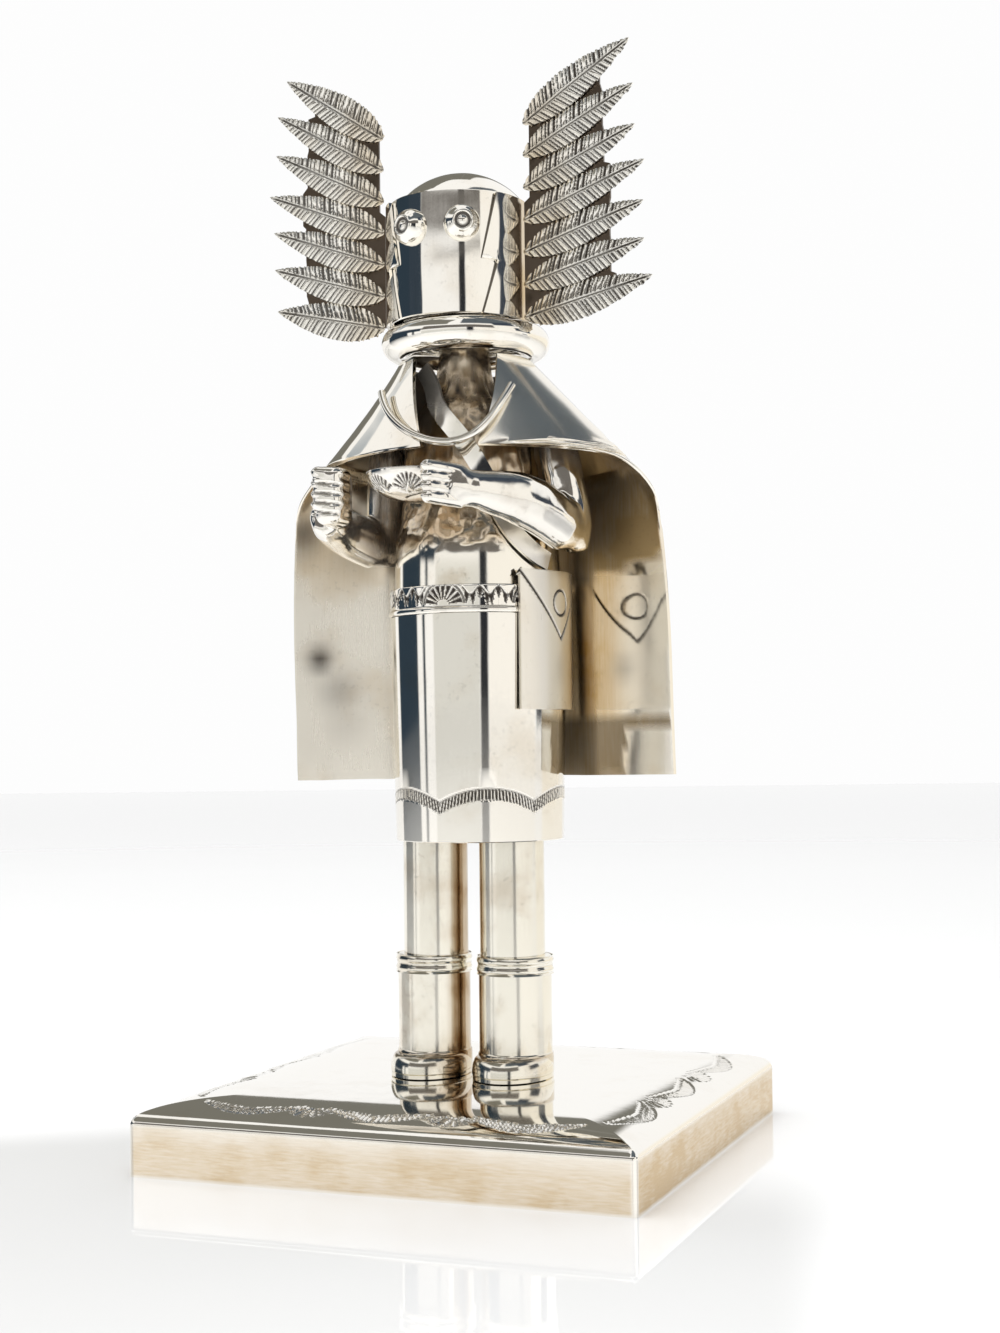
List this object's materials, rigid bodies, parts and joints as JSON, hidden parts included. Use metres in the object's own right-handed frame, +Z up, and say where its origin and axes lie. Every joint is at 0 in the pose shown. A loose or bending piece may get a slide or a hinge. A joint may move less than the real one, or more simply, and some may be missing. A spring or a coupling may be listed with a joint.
{
  "type": "silver kachina figure",
  "caption": "Standing masked dancer in sheet silver with feather fans on the head, a cape, a kilt and a small bowl in the hands, on a square cushioned base.",
  "frame": {"origin": "middle of the underside of the base", "axes": "+Z up, -Y to the figure's front, +X to the figure's left"},
  "size_m": [0.1016, 0.1016, 0.2233],
  "materials": {
    "polished_silver": "polished sterling silver",
    "satin_silver": "satin silver sides, polished top",
    "tarnished_silver": "polished silver with golden tarnish and dark stamped lines",
    "oxidised_silver": "oxidised silver, dull brown"
  },
  "bodies": {
    "root": {"base": "satin_silver", "kilt": "polished_silver", "belt": "polished_silver", "pouch": "polished_silver", "torso": "oxidised_silver", "shoulder_strap": "polished_silver", "arm_right": "polished_silver", "arm_left": "polished_silver", "bowl": "polished_silver", "cape": "tarnished_silver", "cape_tie": "polished_silver", "collar_ring": "polished_silver", "head_drum": "polished_silver", "head_cap": "polished_silver", "boot_right": "polished_silver", "boot_cuff_right": "polished_silver", "leg_right": "polished_silver", "eye_right": "polished_silver", "side_plate_right": "polished_silver", "wing_plate_right": "oxidised_silver", "feather_right_1": "tarnished_silver", "feather_right_2": "tarnished_silver", "feather_right_3": "tarnished_silver", "feather_right_4": "tarnished_silver", "feather_right_5": "tarnished_silver", "feather_right_6": "tarnished_silver", "feather_right_7": "tarnished_silver", "boot_left": "polished_silver", "boot_cuff_left": "polished_silver", "leg_left": "polished_silver", "eye_left": "polished_silver", "side_plate_left": "polished_silver", "wing_plate_left": "oxidised_silver", "feather_left_1": "tarnished_silver", "feather_left_2": "tarnished_silver", "feather_left_3": "tarnished_silver", "feather_left_4": "tarnished_silver", "feather_left_5": "tarnished_silver", "feather_left_6": "tarnished_silver", "feather_left_7": "tarnished_silver"}
  },
  "joints": []
}
